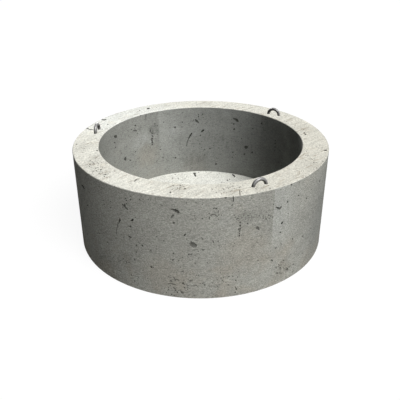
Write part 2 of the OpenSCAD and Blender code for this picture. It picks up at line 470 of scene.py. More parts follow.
class Value:
    """An output of a node. Arithmetic on values adds the Math nodes that work it out."""

    def __init__(self, tree, socket):
        self.tree = tree
        self.socket = socket

    def out(self, name):
        """Another output of the same node."""
        return Value(self.tree, self.socket.node.outputs[name])

    def __add__(self, other):
        return self.tree.math("ADD", self, other)

    def __sub__(self, other):
        return self.tree.math("SUBTRACT", self, other)

    def __rsub__(self, other):
        return self.tree.math("SUBTRACT", other, self)

    def __mul__(self, other):
        return self.tree.math("MULTIPLY", self, other)

    def __truediv__(self, other):
        return self.tree.math("DIVIDE", self, other)

    def __mod__(self, other):
        return self.tree.math("MODULO", self, other)

    def __pow__(self, power):
        return self.tree.math("POWER", self, power)

    def __lt__(self, other):
        return self.tree.math("LESS_THAN", self, other)

    def __gt__(self, other):
        return self.tree.math("GREATER_THAN", self, other)

    __radd__ = __add__
    __rmul__ = __mul__


class Tree:
    """Adds nodes to the tree of a material, the world or a Geometry Nodes modifier."""

    def __init__(self, data):
        self.data = data

    def feed(self, socket, value):
        """Links a value, or each value of a list, to a socket, or sets the socket's own value."""
        if isinstance(value, list):
            for each in value:
                self.feed(socket, each)
        elif isinstance(value, Value):
            self.data.links.new(value.socket, socket)
        else:
            socket.default_value = value

    def node(self, kind, settings=None, inputs=None, output=None):
        """Adds a node: its settings are set first, then its sockets, which go by their identifiers."""
        made = self.data.nodes.new(kind)
        for name, setting in (settings or {}).items():
            setattr(made, name, setting)
        sockets = {socket.identifier: socket for socket in made.inputs}
        for name, value in (inputs or {}).items():
            self.feed(sockets[name], value)
        shown = {socket.identifier: socket for socket in made.outputs}
        return Value(self, shown[output] if output else next(iter(made.outputs), None))

    def math(self, operation, *values):
        sockets = dict(zip(("Value", "Value_001", "Value_002"), values))
        return self.node("ShaderNodeMath", {"operation": operation}, sockets)

    def smooth(self, value, low, high):
        """0 below low, 1 above high, and a smooth step between them."""
        sockets = {"Value": value, "From Min": low, "From Max": high}
        return self.node("ShaderNodeMapRange", {"interpolation_type": "SMOOTHSTEP"}, sockets)

    def noise(self, place, size, seed, detail, roughness=0.55):
        """Cloudy noise from about -0.5 to 0.5, whose lumps are about size across."""
        sockets = {"Vector": place, "W": seed, "Scale": 1 / size, "Detail": detail, "Roughness": roughness}
        return self.node("ShaderNodeTexNoise", {"noise_dimensions": "4D"}, sockets) - 0.5

    def layer(self, name, place):
        """One of the named layers of noise."""
        size, seed, detail, roughness, stretch = NOISES[name]
        lumps_at = self.stretched(place, stretch) if stretch else place
        return self.noise(lumps_at, size, seed, detail, roughness)

    def scaled(self, vector, factor):
        return self.node("ShaderNodeVectorMath", {"operation": "SCALE"}, {"Vector": vector, "Scale": factor})

    def stretched(self, vector, factors):
        sockets = {"Vector": vector, "Vector_001": factors}
        return self.node("ShaderNodeVectorMath", {"operation": "MULTIPLY"}, sockets)

    def blend(self, under, over, factor):
        """One colour laid over another."""
        settings = {"data_type": "RGBA", "clamp_factor": True}
        sockets = {"A_Color": under, "B_Color": over, "Factor_Float": factor}
        return self.node("ShaderNodeMix", settings, sockets, "Result_Color")

    def bump(self, relief, strength, height):
        """A normal that follows a relief of some height."""
        sockets = {"Height": relief, "Strength": strength, "Distance": height}
        return self.node("ShaderNodeBump", inputs=sockets)

    def split(self, vector):
        x = self.node("ShaderNodeSeparateXYZ", inputs={"Vector": vector})
        return x, x.out("Y"), x.out("Z")

    def joined(self, x, y, z):
        return self.node("ShaderNodeCombineXYZ", inputs={"X": x, "Y": y, "Z": z})

    def random(self, low, high, seed):
        sockets = {"Min_001": low, "Max_001": high, "Seed": seed}
        return self.node("FunctionNodeRandomValue", {"data_type": "FLOAT"}, sockets, "Value_001")


class PieceTree(Tree):
    """A Geometry Nodes tree with named inputs, which makes one piece of the object."""

    def __init__(self, name):
        super().__init__(bpy.data.node_groups.new(name, "GeometryNodeTree"))
        self.data.interface.new_socket("Geometry", in_out="OUTPUT", socket_type="NodeSocketGeometry")
        self.inlet = self.data.nodes.new("NodeGroupInput")
        self.settings = {}

    def input(self, name, kind, setting=None):
        """A named input of the tree, and what the modifier sets it to."""
        item = self.data.interface.new_socket(name, in_out="INPUT", socket_type="NodeSocket" + kind)
        if setting is not None:
            self.settings[item.identifier] = setting
        return Value(self, self.inlet.outputs[name])

    def end(self, geometry, material):
        """The tree's last nodes: the instances are made real and take their material."""
        real = self.node("GeometryNodeRealizeInstances", inputs={"Geometry": geometry})
        painted = self.node("GeometryNodeSetMaterial", inputs={"Geometry": real, "Material": material})
        self.feed(self.data.nodes.new("NodeGroupOutput").inputs[0], painted)

    def place(self):
        return self.node("GeometryNodeInputPosition")

    def moved(self, geometry, **sockets):
        """Sets the position of points, or offsets them: Position, Offset and Selection."""
        return self.node("GeometryNodeSetPosition", inputs={"Geometry": geometry, **sockets})

    def edge_shading(self, geometry):
        """Smooth faces, with the edges that turn more than SHARP_EDGE kept sharp."""
        turn = self.node("GeometryNodeInputMeshEdgeAngle")
        smooth = self.node("GeometryNodeSetShadeSmooth", {"domain": "FACE"}, {"Geometry": geometry})
        sockets = {"Geometry": smooth, "Selection": turn > SHARP_EDGE, "Shade Smooth": False}
        return self.node("GeometryNodeSetShadeSmooth", {"domain": "EDGE"}, sockets)

    def make(self, name, start):
        """Runs the tree on a start mesh and returns the result as an object with a plain mesh."""
        carrier = bpy.data.objects.new(name + "_start", start)
        scene.collection.objects.link(carrier)
        modifier = carrier.modifiers.new("piece", "NODES")
        modifier.node_group = self.data
        for identifier, setting in self.settings.items():
            modifier[identifier] = setting
        evaluated = carrier.evaluated_get(bpy.context.evaluated_depsgraph_get())
        mesh = bpy.data.meshes.new_from_object(evaluated)
        bpy.data.objects.remove(carrier)
        bpy.data.meshes.remove(start)
        mesh.name = name
        piece = bpy.data.objects.new(name, mesh)
        scene.collection.objects.link(piece)
        return piece


def polyline(name, points):
    """A mesh of points joined in a row."""
    mesh = bpy.data.meshes.new(name)
    mesh.from_pydata(points, [(i, i + 1) for i in range(len(points) - 1)], [])
    return mesh


def photo_ray(pixel):
    """Direction of the camera's ray through a pixel of the photograph."""
    across, down = pixel
    middle = PHOTO_SIDE / 2
    return CAMERA_TURN @ Vector(((across - middle) / FOCAL_PX, (middle - down) / FOCAL_PX, -1))


def on_wall(pixel, radius, side):
    """Where a pixel's ray meets a wall: side 1 is the near outer wall, -1 the far inner one."""
    ray = photo_ray(pixel)
    flat_ray = ray.xy
    reach = flat_ray.dot(CAMERA_PLACE.xy)
    spread = reach ** 2 - flat_ray.length_squared * (CAMERA_PLACE.xy.length_squared - radius ** 2)
    spot = CAMERA_PLACE + ray * ((-reach - side * max(spread, 0) ** 0.5) / flat_ray.length_squared)
    return spot, Vector((spot.x, spot.y, 0)).normalized() * side


def on_level(pixel, height):
    """Where a pixel's ray meets a level face."""
    ray = photo_ray(pixel)
    return CAMERA_PLACE + ray * ((height - CAMERA_PLACE.z) / ray.z), Vector((0, 0, 1))


def lump_at(find, across, down, half, kind, draw):
    """A lump that looks round in the photograph: spot, outward and along directions, half sizes, darkness."""
    depth, darkness = kind
    half = half * SPOT_GROWTH
    spot, outward = find((across, down))
    along = outward.orthogonal().normalized()
    upward = outward.cross(along)
    steps = [find((across + half, down))[0] - spot, find((across, down + half))[0] - spot]
    turns, sizes, _ = np.linalg.svd(np.array([[step.dot(way) for step in steps] for way in (along, upward)]))
    sizes = sizes * draw.uniform(*SPOT_VARIETY, 2)
    length = min(sizes[0], LONGEST_SPOT * sizes[1])
    return spot, outward, along * turns[0, 0] + upward * turns[1, 0], (length, sizes[1], depth), darkness


def mark_lumps(find, spots, kind, draw):
    """A mark as overlapping lumps along its row of spots."""
    lumps = []
    for start, end in zip(spots, spots[1:] or spots):
        reach = hypot(end[0] - start[0], end[1] - start[1])
        steps = max(1, round(reach / (LUMP_STEP * (start[2] + end[2]) / 2)))
        for step in range(steps + 1):
            spot = Vector(start).lerp(Vector(end), step / steps)
            lumps.append(lump_at(find, *spot, kind, draw))
    return lumps


def small_pits(find, middle, spread, count, draw):
    """Pits strewn about a pixel of the photograph, densest in the middle."""
    pits = []
    for _ in range(count):
        spot, outward = find(Vector(middle) + Vector(draw.normal(0, PIT_SPREAD, 2) * spread))
        radius = SMALLEST_PIT + (LARGEST_PIT - SMALLEST_PIT) * draw.uniform() ** PIT_RARITY
        along = Matrix.Rotation(draw.uniform(0, pi), 3, outward) @ outward.orthogonal().normalized()
        sizes = radius * draw.uniform(1, LONGEST_PIT), radius, radius
        pits.append((spot, outward, along, sizes, SHALLOW[1]))
    return pits


def on_outer_wall(pixel):
    return on_wall(pixel, OUTER_R, 1)


def on_inner_wall(pixel):
    return on_wall(pixel, BORE_R, -1)


def on_rim(pixel):
    return on_level(pixel, RING_H)


def on_floor(pixel):
    return on_level(pixel, FLOOR_Z)


def on_loops(pixel):
    return on_level(pixel, RING_H + LOOP_MIDDLE)


def hole_places():
    """Every mark of the photograph as lumps, each as lump_at gives it."""
    faces = [
        (on_outer_wall, OUTER_WALL_HOLES, OUTER_WALL_DENTS, OUTER_WALL_MARKS, OUTER_WALL_PITS),
        (on_inner_wall, INNER_WALL_HOLES, INNER_WALL_DENTS, INNER_WALL_MARKS, INNER_WALL_PITS),
        (on_rim, RIM_HOLES, RIM_DENTS, RIM_MARKS, RIM_PITS),
        (on_floor, FLOOR_HOLES, FLOOR_DENTS, FLOOR_MARKS, FLOOR_PITS),
    ]
    draw = np.random.default_rng(MARK_SEED)
    lumps = []
    for find, holes, dents, marks, patches in faces:
        lumps += [lump_at(find, *hole, ROUND, draw) for hole in holes]
        lumps += [lump_at(find, *dent, SHALLOW, draw) for dent in dents]
        for kind, spots in marks:
            lumps += mark_lumps(find, spots, kind, draw)
        for middle, spread, count in patches:
            lumps += small_pits(find, middle, spread, count, draw)
    return lumps


def mark_helper():
    """An object whose points carry the photograph's holes as attributes."""
    holes = hole_places()
    mesh = bpy.data.meshes.new("mark_places")
    mesh.from_pydata([hole[0] for hole in holes], [], [])
    for column, name in enumerate(("outward", "along", "half_sizes"), 1):
        attribute = mesh.attributes.new(name, "FLOAT_VECTOR", "POINT")
        attribute.data.foreach_set("vector", np.array([hole[column] for hole in holes]).ravel())
    darkness = mesh.attributes.new("darkness", "FLOAT", "POINT")
    darkness.data.foreach_set("value", [hole[4] for hole in holes])
    helper = bpy.data.objects.new("mark_places", mesh)
    scene.collection.objects.link(helper)
    return helper


def loop_shape(loop):
    """A loop's two bend ends, the lower end of its legs and the radius of its bar, from its node."""
    low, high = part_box("lifting_loop_" + loop)
    corners = frame["nodes"]["lifting_loop_" + loop].data.vertices
    leg = np.array([v.co.xy for v in corners if v.co.z < low.z + MM])
    middle = leg.mean(axis=0)
    along = np.linalg.svd(leg - middle)[2][0]
    sides = (leg - middle) @ along
    feet = [leg[sides * side > 0] for side in (-1, 1)]
    start, end = [Vector((foot.max(axis=0) + foot.min(axis=0)) / 2) for foot in feet]
    bar_r = (feet[0].max(axis=0) - feet[0].min(axis=0)).max() / 2
    bend_z = high.z - bar_r - (end - start).length / 2
    return (*start, bend_z), (*end, bend_z), low.z, bar_r


def stretch(start, end, row):
    """Points from start up to, but not at, end, no further apart than row."""
    steps = max(1, round((Vector(end) - Vector(start)).length / row))
    return [Vector(start).lerp(Vector(end), step / steps) for step in range(steps)]


def ring_section():
    """Half section of the ring: from the middle of the underside, round the wall, to that of the floor."""
    corners = [
        ((0, 0, 0), UNDERSIDE_ROW),
        ((OUTER_R - ARRIS, 0, 0), ARRIS),
        ((OUTER_R, 0, ARRIS), WALL_ROW),
        ((OUTER_R, 0, RING_H - ARRIS), ARRIS),
        ((OUTER_R - ARRIS, 0, RING_H), RIM_ROW),
        ((BORE_R + ARRIS, 0, RING_H), ARRIS),
        ((BORE_R, 0, RING_H - ARRIS), WALL_ROW),
        ((BORE_R, 0, FLOOR_Z), FLOOR_ROW),
        ((0, 0, FLOOR_Z), None),
    ]
    points = []
    for (start, row), (end, _) in zip(corners, corners[1:]):
        points += stretch(start, end, row)
    return polyline("ring_section", points + [corners[-1][0]])


def turned_body(tree, section, segments):
    """The section turned round the axis into a closed skin."""
    rows = tree.node("GeometryNodeAttributeDomainSize", {"component": "MESH"}, {"Geometry": section})
    sockets = {"Vertices X": segments + 1, "Vertices Y": rows}
    grid = tree.node("GeometryNodeMeshGrid", inputs=sockets)
    number = tree.node("GeometryNodeInputIndex")
    sockets = {"Geometry": section, "Value": tree.place(), "Index": number % rows}
    settings = {"data_type": "FLOAT_VECTOR", "domain": "POINT"}
    radius, _, height = tree.split(tree.node("GeometryNodeSampleIndex", settings, sockets))
    angle = tree.math("FLOOR", number / rows) * (2 * pi) / segments
    spot = tree.joined(radius * tree.math("COSINE", angle), radius * tree.math("SINE", angle), height)
    skin = tree.moved(grid, Position=spot)
    return tree.node("GeometryNodeMergeByDistance", inputs={"Geometry": skin, "Distance": MERGE_GAP})


def uneven_faces(tree, body, waviness):
    """Slight waves of the cast faces, up to waviness high. The underside stays flat."""
    _, _, height = tree.split(tree.place())
    wave = tree.layer("long_wave", tree.place()) + 0.4 * tree.layer("short_wave", tree.place())
    outward = tree.node("GeometryNodeInputNormal")
    # The noise goes from about -0.5 to 0.5, so it is doubled.
    return tree.moved(body, Selection=height > MM, Offset=tree.scaled(outward, wave * waviness * 2))


def hole_formers(tree, darkness):
    """Uneven lumps of unit radius, raised a little out of the face they cut, with the dirt and painted shade
    they leave inside.
    """
    lumps = []
    for kind in range(FORMER_KINDS):
        ball = tree.node("GeometryNodeMeshIcoSphere", inputs={"Radius": 1, "Subdivisions": 2})
        swell = tree.noise(tree.place(), LUMP_SIZE, LUMP_SEED * kind, 1) * LUMPINESS
        lump = tree.moved(ball, Offset=tree.scaled(tree.place(), swell))
        sockets = {"Geometry": lump, "Translation": (0, 0, FORMER_RISE)}
        raised = tree.node("GeometryNodeTransform", inputs=sockets)
        settings = {"data_type": "FLOAT", "domain": "FACE"}
        sockets = {"Geometry": raised, "Name": "lining", "Value": darkness}
        lumps.append(tree.node("GeometryNodeStoreNamedAttribute", settings, sockets))
    return tree.node("GeometryNodeGeometryToInstance", inputs={"Geometry": lumps})


def strewn_holes(tree, points, smallest, largest, seed):
    """A former at each point, few of them large, each with its own shape and turn."""
    share = tree.random(0, 1, seed) ** LARGE_RARITY
    radius = smallest + (largest - smallest) * share
    sockets = {"Axis": (0, 0, 1), "Angle": tree.random(0, FULL_SPIN, seed + 1)}
    spin = tree.node("FunctionNodeAxisAngleToRotation", inputs=sockets)
    sockets = {"Rotation": points.out("Rotation"), "Rotate By": spin}
    turn = tree.node("FunctionNodeRotateRotation", {"rotation_space": "LOCAL"}, sockets)
    length = radius * tree.random(*HOLE_LENGTHS, seed + 2)
    depth = radius * tree.random(*HOLE_DEPTHS, seed + 3)
    sockets = {
        "Points": points,
        "Instance": hole_formers(tree, ROUND[1]),
        "Pick Instance": True,
        "Instance Index": tree.math("FLOOR", tree.random(0, FORMER_KINDS - 0.01, seed + 4)),
        "Rotation": turn,
        "Scale": tree.joined(length, radius, depth),
    }
    return tree.node("GeometryNodeInstanceOnPoints", inputs=sockets)


def helper_points(tree, helper):
    """The points of a helper object."""
    settings = {"transform_space": "ORIGINAL"}
    spots = tree.node("GeometryNodeObjectInfo", settings, {"Object": helper}, "Geometry")
    return tree.node("GeometryNodeMeshToPoints", {"mode": "VERTICES"}, {"Mesh": spots})


def photo_holes(tree, marks, darkness):
    """A former at each mark of one darkness that was read off the photograph."""

    def stored(name, kind="FLOAT_VECTOR"):
        return tree.node("GeometryNodeInputNamedAttribute", {"data_type": kind}, {"Name": name})

    turn = tree.node(
        "FunctionNodeAxesToRotation",
        {"primary_axis": "Z", "secondary_axis": "X"},
        {"Primary Axis": stored("outward"), "Secondary Axis": stored("along")},
    )
    sockets = {
        "Points": helper_points(tree, marks),
        "Selection": tree.math("COMPARE", stored("darkness", "FLOAT"), darkness, 0.01),
        "Instance": hole_formers(tree, darkness),
        "Pick Instance": True,
        "Instance Index": tree.node("GeometryNodeInputIndex") % FORMER_KINDS,
        "Rotation": turn,
        "Scale": stored("half_sizes"),
    }
    return tree.node("GeometryNodeInstanceOnPoints", inputs=sockets)


def scattered(tree, body, selection, spacing, density, factor, seed):
    """Random points on chosen faces of the body, no nearer to each other than spacing."""
    sockets = {
        "Mesh": body,
        "Selection": selection,
        "Distance Min": spacing,
        "Density Max": density,
        "Density Factor": factor,
        "Seed": seed,
    }
    return tree.node("GeometryNodeDistributePointsOnFaces", {"distribute_method": "POISSON"}, sockets)


def leg_sockets(tree, legs):
    """Straight holes that the legs of the loops stand in, from the legs' lower ends up past the rim."""
    _, _, low, bar_r = loop_shape(LOOPS[0])
    depth = RING_H - low + SOCKET_RISE
    sockets = {"Vertices": BAR_SIDES, "Radius": bar_r + SOCKET_PLAY, "Depth": depth}
    former = tree.node("GeometryNodeMeshCylinder", inputs=sockets)
    former = tree.node("GeometryNodeTransform", inputs={"Geometry": former, "Translation": (0, 0, depth / 2)})
    sockets = {"Points": helper_points(tree, legs), "Instance": former}
    return tree.node("GeometryNodeInstanceOnPoints", inputs=sockets)


def leg_helper():
    """An object whose points are the lower ends of the loops' legs."""
    ends = []
    for loop in LOOPS:
        start, end, low, _ = loop_shape(loop)
        ends += [(*start[:2], low), (*end[:2], low)]
    mesh = bpy.data.meshes.new("leg_ends")
    mesh.from_pydata(ends, [], [])
    helper = bpy.data.objects.new("leg_ends", mesh)
    scene.collection.objects.link(helper)
    return helper


def turned_away(tree):
    """1 on the faces that are turned away from the photograph's viewpoint."""
    sockets = {"Vector": CAMERA_PLACE, "Vector_001": tree.place()}
    to_camera = tree.node("ShaderNodeVectorMath", {"operation": "SUBTRACT"}, sockets)
    sockets = {"Vector": tree.node("GeometryNodeInputNormal"), "Vector_001": to_camera}
    return tree.node("ShaderNodeVectorMath", {"operation": "DOT_PRODUCT"}, sockets, "Value") < 0


def strewn_cutters(tree, body, spacing, density, smallest, largest):
    """Formers that lie at random: small holes, chips of the top edges, and the larger holes out of sight."""
    _, _, height = tree.split(tree.place())
    low_wall = 1 - tree.smooth(height, *LOW_WALL)
    chip_top, chip_foot = [RING_H - ARRIS * share for share in CHIP_BAND]
    on_arris = (height > chip_foot) * (height < chip_top)
    unseen = turned_away(tree) * (height > UNSEEN_FOOT)
    holes = scattered(tree, body, height > HOLE_FOOT, spacing, density, 0.5 + 0.5 * low_wall, HOLE_SEEDS[0])
    chips = scattered(tree, body, on_arris, CHIP_SPACING, CHIPS_PER_M2, 1.0, CHIP_SEEDS[0])
    large = scattered(tree, body, unseen, UNSEEN_SPACING, UNSEEN_PER_M2, 1.0, UNSEEN_SEEDS[0])
    return [
        strewn_holes(tree, holes, smallest, largest, HOLE_SEEDS[1]),
        strewn_holes(tree, chips, smallest, largest, CHIP_SEEDS[1]),
        strewn_holes(tree, large, UNSEEN_SMALLEST, UNSEEN_LARGEST, UNSEEN_SEEDS[1]),
    ]


def cast_ring(material):
    """The concrete ring with its base: a turned body, less its air holes, chips and the loops' sockets."""
    marks = mark_helper()
    legs = leg_helper()

    tree = PieceTree("cast_ring")
    section = tree.input("Section", "Geometry")
    segments = tree.input("Segments", "Int", SEGMENTS)
    waviness = tree.input("Waviness", "Float", WAVINESS)
    spacing = tree.input("Hole spacing", "Float", HOLE_SPACING)
    density = tree.input("Holes per square metre", "Float", HOLES_PER_M2)
    smallest = tree.input("Smallest hole", "Float", SMALLEST_HOLE)
    largest = tree.input("Largest hole", "Float", LARGEST_HOLE)
    mark_object = tree.input("Marks", "Object", marks)
    leg_object = tree.input("Legs", "Object", legs)

    body = uneven_faces(tree, turned_body(tree, section, segments), waviness)
    cutters = strewn_cutters(tree, body, spacing, density, smallest, largest)
    for _, darkness in (DEEP, ROUND, SHALLOW):
        cutters.append(photo_holes(tree, mark_object, darkness))
    cutters.append(leg_sockets(tree, leg_object))
    settings = {"operation": "DIFFERENCE", "solver": "MANIFOLD"}
    cut = tree.node("GeometryNodeMeshBoolean", settings, {"Mesh 1": body, "Mesh 2": cutters})
    tree.end(tree.edge_shading(cut), material)

    ring = tree.make("cast_ring", ring_section())
    for helper in (marks, legs):
        mesh = helper.data
        bpy.data.objects.remove(helper)
        bpy.data.meshes.remove(mesh)
    unroll(ring.data)
    return ring


def face_arrays(mesh):
    """The middle of each face, the place of each face corner, and the face that each corner belongs to."""
    centres = np.empty(len(mesh.polygons) * 3)
    mesh.polygons.foreach_get("center", centres)
    counts = np.empty(len(mesh.polygons), int)
    mesh.polygons.foreach_get("loop_total", counts)
    corners = np.empty(len(mesh.loops), int)
    mesh.loops.foreach_get("vertex_index", corners)
    places = np.empty(len(mesh.vertices) * 3)
    mesh.vertices.foreach_get("co", places)
    return centres.reshape(-1, 3), places.reshape(-1, 3)[corners], np.repeat(np.arange(len(counts)), counts)


def unroll(mesh):
    """A map of the ring's own: each wall as two strips, the floor inside the rim, and the underside."""
    centres, spots, face_of = face_arrays(mesh)
    radius = np.hypot(centres[:, 0], centres[:, 1])
    height = centres[:, 2]
    inside = radius < BORE_R + ARRIS / 2
    gaps = np.array([
        abs(OUTER_R - radius),
        abs(radius - BORE_R) + (height < FLOOR_Z),
        abs(RING_H - height) + (radius < BORE_R),
        abs(height - FLOOR_Z) + ~inside,
        abs(height),
    ])
    face = gaps.argmin(axis=0)[face_of]
    bearing = np.arctan2(centres[:, 1], centres[:, 0])[face_of]
    turn = np.arctan2(spots[:, 1], spots[:, 0]) - bearing
    back = bearing > 0
    sweep = bearing + (turn + pi) % (2 * pi) - pi - np.where(back, 0, -pi)

    gap = CHART_GAP
    strip = OUTER_R * pi
    above = 2 * RING_H + 3 * gap
    deep = RING_H - FLOOR_Z
    outer = np.stack([gap + sweep * OUTER_R, gap + spots[:, 2] + back * (RING_H + gap)], axis=1)
    inner_across = 2 * (OUTER_R + gap) + spots[:, 2] - FLOOR_Z + back * (deep + gap)
    inner = np.stack([inner_across, above + sweep * BORE_R], axis=1)
    middle = np.array([gap + OUTER_R, above + OUTER_R])
    rim = middle + spots[:, :2]
    floor = middle + spots[:, :2] * FLOOR_SHRINK
    small_r = OUTER_R * UNDERSIDE_SHRINK
    under_middle = np.array([2 * gap + strip + small_r, gap + small_r])
    underside = under_middle + spots[:, :2] * (-UNDERSIDE_SHRINK, UNDERSIDE_SHRINK)
    charts = np.array([outer, inner, rim, floor, underside])
    sheet = charts[face, np.arange(len(face))] / SHEET
    mesh.uv_layers.new(name="OFBake").data.foreach_set("uv", sheet.ravel())


def new_material(name):
    material = bpy.data.materials.new(name)
    material.use_nodes = True
    material.node_tree.nodes.clear()
    return material, Tree(material.node_tree)


def finish_material(tree, surface):
    tree.node("ShaderNodeOutputMaterial", inputs={"Surface": surface})


def strewn_specks(tree, place, cell, share):
    """Pinholes with painted shade and dark grains: about one spot in each cell, kept in a share of the cells,
    of uneven size.
    """
    near = tree.node("ShaderNodeTexVoronoi", {"feature": "F1"}, {"Vector": place, "Scale": 1 / cell})
    pick, size, _ = tree.split(near.out("Color"))
    edge = 0.1 + 0.1 * size
    return (1 - tree.smooth(near, edge * 0.6, edge)) * (pick < share)


def soft_stains(tree, place, find, stains, ragged):
    """1 in the middle of each stain, falling unevenly to 0 at its reach."""
    most = 0
    for pixel, reach in stains:
        middle, _ = find(pixel)
        settings = {"operation": "DISTANCE"}
        away = tree.node("ShaderNodeVectorMath", settings, {"Vector": place, "Vector_001": middle}, "Value")
        most = tree.math("MAXIMUM", most, 1 - tree.smooth(away / reach + ragged, STAIN_CORE, 1))
    return most


def mould_seam(tree, place, spot, side):
    """A joint of the mould down a wall: 1 just to one side of it, -1 just to the other, 0 further off."""
    radius = spot.xy.length
    x, y, height = tree.split(place)
    turn = tree.math("ARCTAN2", y, x) - atan2(spot.y, spot.x)
    right = turn * radius * side
    off_wall = tree.math("ABSOLUTE", tree.math("SQRT", x * x + y * y) - radius)
    near = 1 - tree.smooth(tree.math("ABSOLUTE", right), *SEAM_REACH)
    step = 2 * tree.smooth(right, -SEAM_BLUR, SEAM_BLUR) - 1
    return step * near * (1 - tree.smooth(off_wall, *SEAM_DEPTH)) * tree.smooth(height, *SEAM_FOOT)


def wall_seams(tree, place):
    """The joints on both walls. The outer wall has a second one, opposite the one that shows."""
    outer, _ = on_outer_wall(OUTER_SEAM)
    inner, _ = on_inner_wall(INNER_SEAM)
    shaded, _ = on_inner_wall(SHADED_SEAM)
    seams = mould_seam(tree, place, outer, 1) + mould_seam(tree, place, -outer, 1)
    return seams + 0.5 * mould_seam(tree, place, inner, -1) - 0.6 * mould_seam(tree, place, shaded, -1)


def wall_stains(tree, place, inside, outer_stains, inner_stains, ragged):
    """Stains of both walls, each kept to its own wall."""
    outer = soft_stains(tree, place, on_outer_wall, outer_stains, ragged)
    inner = soft_stains(tree, place, on_inner_wall, inner_stains, ragged)
    return outer * (1 - inside) + inner * inside


def painted_shade_of_walls(tree, place, inside, ragged):
    """How much darker the walls are where shade is painted on them, as a share."""
    painted_wall_shade = 0.4 * soft_stains(tree, place, on_inner_wall, INNER_PAINTED_SHADE, ragged)
    dim = 0.23 * soft_stains(tree, place, on_inner_wall, DIM_INNER, ragged)
    painted_edge_shade = 0.17 * soft_stains(tree, place, on_inner_wall, INNER_EDGE_PAINTED_SHADE, ragged)
    outer = 0.32 * soft_stains(tree, place, on_outer_wall, OUTER_PAINTED_SHADE, ragged)
    return (painted_wall_shade + dim + painted_edge_shade) * inside + outer * (1 - inside)


def concrete_zones(tree, place):
    """Where the rim, floor, chamber, low wall and the dirt and painted shade inside the holes are, as 0 to 1.
    """
    x, y, height = tree.split(place)
    behind_bore = tree.math("SQRT", x * x + y * y) - BORE_R
    rim_low, rim_high = [RING_H - drop for drop in RIM_EDGE]
    floor_low, floor_high = [FLOOR_Z + rise for rise in FLOOR_EDGE]
    within_bore = tree.smooth(-1 * behind_bore, *FLOOR_EDGE)
    return {
        "lining": tree.node("ShaderNodeAttribute", {"attribute_name": "lining"}, output="Fac"),
        "rim": tree.smooth(height, rim_low, rim_high),
        "floor": within_bore * (1 - tree.smooth(height, floor_low, floor_high)),
        "chamber": 1 - tree.smooth(behind_bore, *CHAMBER_EDGE),
        "low": 1 - tree.smooth(height, *LOW_BAND),
    }


def wall_colour(tree, place, zones, grit):
    """Concrete as it left the mould: grey with warm and cool stains and painted shade, its tone changed at
    the joints.
    """
    inside = zones["chamber"]
    cloud = tree.layer("wall_cloud", place)
    patch = tree.layer("wall_patch", place)
    lift = tree.layer("wall_lift", place)
    streak = tree.layer("wall_streak", place)
    scuffs = tree.smooth(streak, 0.06, 0.26)
    scratches = tree.smooth(tree.layer("wall_dash", place) + 0.5 * patch, 0.1, 0.2)
    seams = wall_seams(tree, place)
    warm = tree.smooth(tree.layer("wall_warm", place) + 0.2 * zones["low"], 0.08, 0.32) * (1 - 0.6 * inside)
    ragged = 0.9 * patch
    warm_spots = wall_stains(tree, place, inside, WARM_WALL_STAINS, WARM_INNER_STAINS, ragged)
    dark_spots = wall_stains(tree, place, inside, DARK_WALL_PATCHES, DARK_INNER_STAINS, ragged)
    # Painted shade, which darkens the walls and makes them cooler.
    painted_wall_shade = painted_shade_of_walls(tree, place, inside, 0.2 * patch)
    cool = tree.smooth(cloud, 0.08, 0.25) + 0.8 * tree.math("MAXIMUM", seams, 0) + 2.5 * painted_wall_shade
    grey = tree.blend(WALL_GREY, INNER_GREY, inside)
    grey = tree.blend(grey, WALL_WARM, tree.math("MAXIMUM", 0.4 * warm, 0.3 * warm_spots))
    grey = tree.blend(grey, WALL_COOL, 0.6 * cool)
    tone = 1.03 + 0.22 * cloud + 0.3 * patch + 0.26 * lift + 0.38 * streak + 0.115 * seams
    tone = tone - 0.2 * scuffs - 0.22 * scratches - 0.16 * dark_spots + grit * (1 - 0.25 * inside)
    return tree.scaled(grey, tone * (1 - painted_wall_shade))


def level_colour(tree, place, zones, grit):
    """The rim and the floor: pale cream, worn grey in places, with streaks and brown trowel strokes."""
    cloud = tree.layer("rim_cloud", place)
    patch = tree.layer("rim_patch", place)
    sockets = {"Vector": place, "Axis": (0, 0, 1), "Angle": SCREED_BEARING}
    screed = tree.node("ShaderNodeVectorRotate", {"rotation_type": "AXIS_ANGLE"}, sockets)
    streaks = tree.layer("rim_streak", screed)
    strokes = tree.smooth(tree.layer("rim_stroke", screed) + 0.5 * patch, 0.07, 0.19)
    screeded = 1 - 0.65 * zones["floor"]
    cream = tree.blend(RIM_CREAM, RIM_WHITE, soft_stains(tree, place, on_rim, PALE_RIM, 0.5 * patch))
    cream = tree.blend(cream, RIM_DULL, soft_stains(tree, place, on_rim, DULL_RIM, 0.5 * patch))
    cream = tree.blend(cream, FLOOR_PALE, zones["floor"])
    worn = tree.smooth(tree.layer("rim_worn", place), 0.14, 0.34)
    grey_spots = soft_stains(tree, place, on_rim, GREY_RIM_STAINS, 1.2 * patch)
    smudges = tree.smooth(streaks + 0.3 * patch, -0.12, 0.15) * (0.35 * worn + 0.6 * grey_spots)
    cream = tree.blend(cream, RIM_GREY, smudges)
    warm = tree.smooth(tree.layer("rim_warm", place), 0.05, 0.3) * (1 - 0.7 * zones["floor"])
    cream = tree.blend(cream, RIM_WARM, 0.35 * warm)
    cream = tree.blend(cream, FLECK_BROWN, 0.48 * strokes * screeded)
    tone = 1.03 + 0.22 * cloud + 0.3 * patch + 0.7 * streaks * screeded + 0.75 * grit
    return tree.scaled(cream, tone)


def concrete_specks(tree, place, zones, level):
    """Pinholes with painted shade, of three sizes: more of the finest low on the wall, more of the others on
    level faces.
    """
    cell, share = FINE_SPECKS
    specks = strewn_specks(tree, place, cell, share + 0.2 * zones["low"])
    for cell, share in COARSE_SPECKS:
        specks = tree.math("MAXIMUM", specks, strewn_specks(tree, place, cell, share + 0.3 * level))
    return specks


